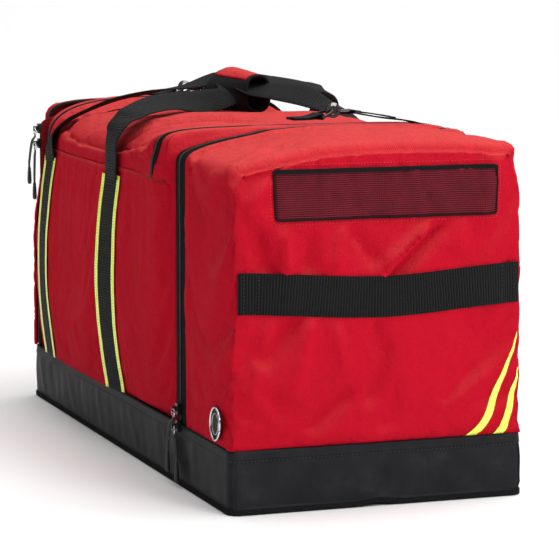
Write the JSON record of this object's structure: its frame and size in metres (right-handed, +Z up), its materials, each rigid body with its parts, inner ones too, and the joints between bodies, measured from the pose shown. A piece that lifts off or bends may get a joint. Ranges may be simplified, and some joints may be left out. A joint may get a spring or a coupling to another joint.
{
  "type": "rescue kit holdall",
  "caption": "Long soft kit holdall with a domed zip-open lid, a deep zipped end pocket, a shallow far pocket, webbing handles and a shoulder strap on a wipe-clean base.",
  "frame": {"origin": "bottom centre of the bag, on the surface that it stands on", "axes": "+X along the bag towards the deep near pocket, +Z up, left side (-Y) carries the near pocket's badge"},
  "size_m": [0.951, 0.4214, 0.5105],
  "materials": {
    "base_tarpaulin": "semi-matte PVC",
    "board": "matte",
    "red_fabric": "coarse woven",
    "lining": "coated lining",
    "webbing": "ribbed webbing",
    "zip_tape": "woven tape and coil",
    "reflective": "reflective",
    "mesh": "mesh",
    "binding": "binding tape",
    "badge_metal": "polished",
    "slider_metal": "black lacquer",
    "ring_metal": "polished",
    "pull_cord": "cord with moulded tip",
    "hardware_black": "black nickel",
    "adjuster_plastic": "moulded",
    "gate_metal": "bright"
  },
  "bodies": {
    "bag": {"base_tub": "base_tarpaulin", "base_board": "board", "side_panel_left": "red_fabric", "side_panel_right": "red_fabric", "near_divider": "lining", "far_divider": "lining", "near_top_strip": "red_fabric", "far_top_strip": "red_fabric", "lid_zip_bag_tape": "zip_tape", "near_zip_bag_tape": "zip_tape", "far_zip_bag_tape": "zip_tape", "side_straps_left": "webbing", "side_straps_right": "webbing", "reflective_piping": "reflective", "handle_right": "webbing", "near_ring_tab": "webbing", "far_ring_tab": "webbing", "near_hook": "hardware_black", "far_hook": "hardware_black", "shoulder_strap": "webbing", "strap_adjuster": "adjuster_plastic"},
    "lid": {"lid_panel": "red_fabric", "lid_zip_lid_tape": "zip_tape"},
    "left_handle": {"handle_left": "webbing", "grip_cuff": "webbing", "cuff_patch": "red_fabric"},
    "near_pocket": {"near_end_panel": "red_fabric", "near_gusset": "red_fabric", "near_zip_pocket_tape": "zip_tape", "mesh_window": "mesh", "mesh_binding": "binding", "near_end_handle": "webbing", "reflective_stripes": "reflective", "badge": "badge_metal"},
    "far_pocket": {"far_shell": "red_fabric", "far_zip_pocket_tape": "zip_tape", "far_end_handle": "webbing"},
    "near_slider_a": {"near_slider_upper": "slider_metal"},
    "near_slider_b": {"near_slider_lower": "slider_metal"},
    "lid_slider_a": {"lid_slider_upper": "slider_metal"},
    "lid_slider_b": {"lid_slider_lower": "slider_metal"},
    "far_slider_a": {"far_slider": "slider_metal"},
    "near_pull_a": {"near_ring_upper": "ring_metal", "near_pull_upper": "pull_cord"},
    "near_pull_b": {"near_ring_lower": "ring_metal", "near_pull_lower": "pull_cord"},
    "lid_pull_a": {"lid_ring_upper": "ring_metal", "lid_pull_upper": "pull_cord"},
    "lid_pull_b": {"lid_ring_lower": "ring_metal", "lid_pull_lower": "pull_cord"},
    "far_pull_a": {"far_ring": "ring_metal", "far_pull": "pull_cord"},
    "near_ring": {"near_d_ring": "hardware_black"},
    "far_ring_body": {"far_d_ring": "hardware_black"},
    "near_gate": {"near_hook_gate": "gate_metal"},
    "far_gate": {"far_hook_gate": "gate_metal"}
  },
  "joints": [
    {"name": "lid_hinge", "type": "hinge", "parent": "bag", "child": "lid", "pos_m": [-0.1035, -0.196, 0.384], "axis": [1, 0, 0], "range_deg": [0, 110], "deforming": ["handle_right"]},
    {"name": "left_handle_swing", "type": "hinge", "parent": "bag", "child": "left_handle", "pos_m": [-0.18, -0.2, 0.374], "axis": [1, 0, 0], "range_deg": [0, 110]},
    {"name": "near_pocket_hinge", "type": "hinge", "parent": "bag", "child": "near_pocket", "pos_m": [0.4635, 0, 0.0784], "axis": [0, 1, 0], "range_deg": [0, 80]},
    {"name": "far_pocket_hinge", "type": "hinge", "parent": "bag", "child": "far_pocket", "pos_m": [-0.4635, 0, 0.0784], "axis": [0, -1, 0], "range_deg": [0, 80]},
    {"name": "near_slider_upper_slide", "type": "slide", "parent": "bag", "child": "near_slider_a", "axis": [0, 0, 1], "range_m": [0, 0.27]},
    {"name": "near_slider_lower_slide", "type": "slide", "parent": "bag", "child": "near_slider_b", "axis": [0, 0, 1], "range_m": [0, 0.27]},
    {"name": "lid_slider_upper_travel", "type": "hinge", "parent": "bag", "child": "lid_slider_a", "pos_m": [-0.3942, -0.152, 0.404], "axis": [1, 0, 0], "range_deg": [-55, 0]},
    {"name": "lid_slider_lower_travel", "type": "hinge", "parent": "bag", "child": "lid_slider_b", "pos_m": [-0.3942, -0.152, 0.404], "axis": [1, 0, 0], "range_deg": [-55, 0]},
    {"name": "far_slider_slide", "type": "slide", "parent": "bag", "child": "far_slider_a", "axis": [0, 0, 1], "range_m": [0, 0.27]},
    {"name": "near_pull_upper_swing", "type": "hinge", "parent": "near_slider_a", "child": "near_pull_a", "pos_m": [0.2642, -0.1994, 0.098], "axis": [1, 0, 0], "range_deg": [-95, 0]},
    {"name": "near_pull_lower_swing", "type": "hinge", "parent": "near_slider_b", "child": "near_pull_b", "pos_m": [0.2642, -0.1994, 0.076], "axis": [1, 0, 0], "range_deg": [-95, 0]},
    {"name": "lid_pull_upper_swing", "type": "hinge", "parent": "lid_slider_a", "child": "lid_pull_a", "pos_m": [-0.3942, -0.2054, 0.411], "axis": [1, 0, 0], "range_deg": [-95, 0]},
    {"name": "lid_pull_lower_swing", "type": "hinge", "parent": "lid_slider_b", "child": "lid_pull_b", "pos_m": [-0.3942, -0.2054, 0.389], "axis": [1, 0, 0], "range_deg": [-95, 0]},
    {"name": "far_pull_swing", "type": "hinge", "parent": "far_slider_a", "child": "far_pull_a", "pos_m": [-0.4452, 0.1994, 0.09], "axis": [1, 0, 0], "range_deg": [0, 95]},
    {"name": "near_d_ring_hinge", "type": "hinge", "parent": "bag", "child": "near_ring", "pos_m": [0.214, 0.014, 0.4604], "axis": [1, 0, 0], "range_deg": [-8, 3]},
    {"name": "far_d_ring_hinge", "type": "hinge", "parent": "bag", "child": "far_ring_body", "pos_m": [-0.415, 0.014, 0.4604], "axis": [1, 0, 0], "range_deg": [-8, 3]},
    {"name": "near_hook_gate_hinge", "type": "hinge", "parent": "bag", "child": "near_gate", "pos_m": [0.214, 0.0394, 0.4737], "axis": [1, 0, 0], "range_deg": [0, 13], "stiffness_Nm_per_rad": 0.002},
    {"name": "far_hook_gate_hinge", "type": "hinge", "parent": "bag", "child": "far_gate", "pos_m": [-0.415, 0.0394, 0.4737], "axis": [1, 0, 0], "range_deg": [0, 13], "stiffness_Nm_per_rad": 0.002}
  ],
  "couplings": [
    {"joint": "left_handle_swing", "follows": "lid_hinge", "ratio": 1},
    {"joint": "near_slider_lower_slide", "follows": "near_slider_upper_slide", "ratio": 1},
    {"joint": "lid_slider_lower_travel", "follows": "lid_slider_upper_travel", "ratio": 1}
  ]
}
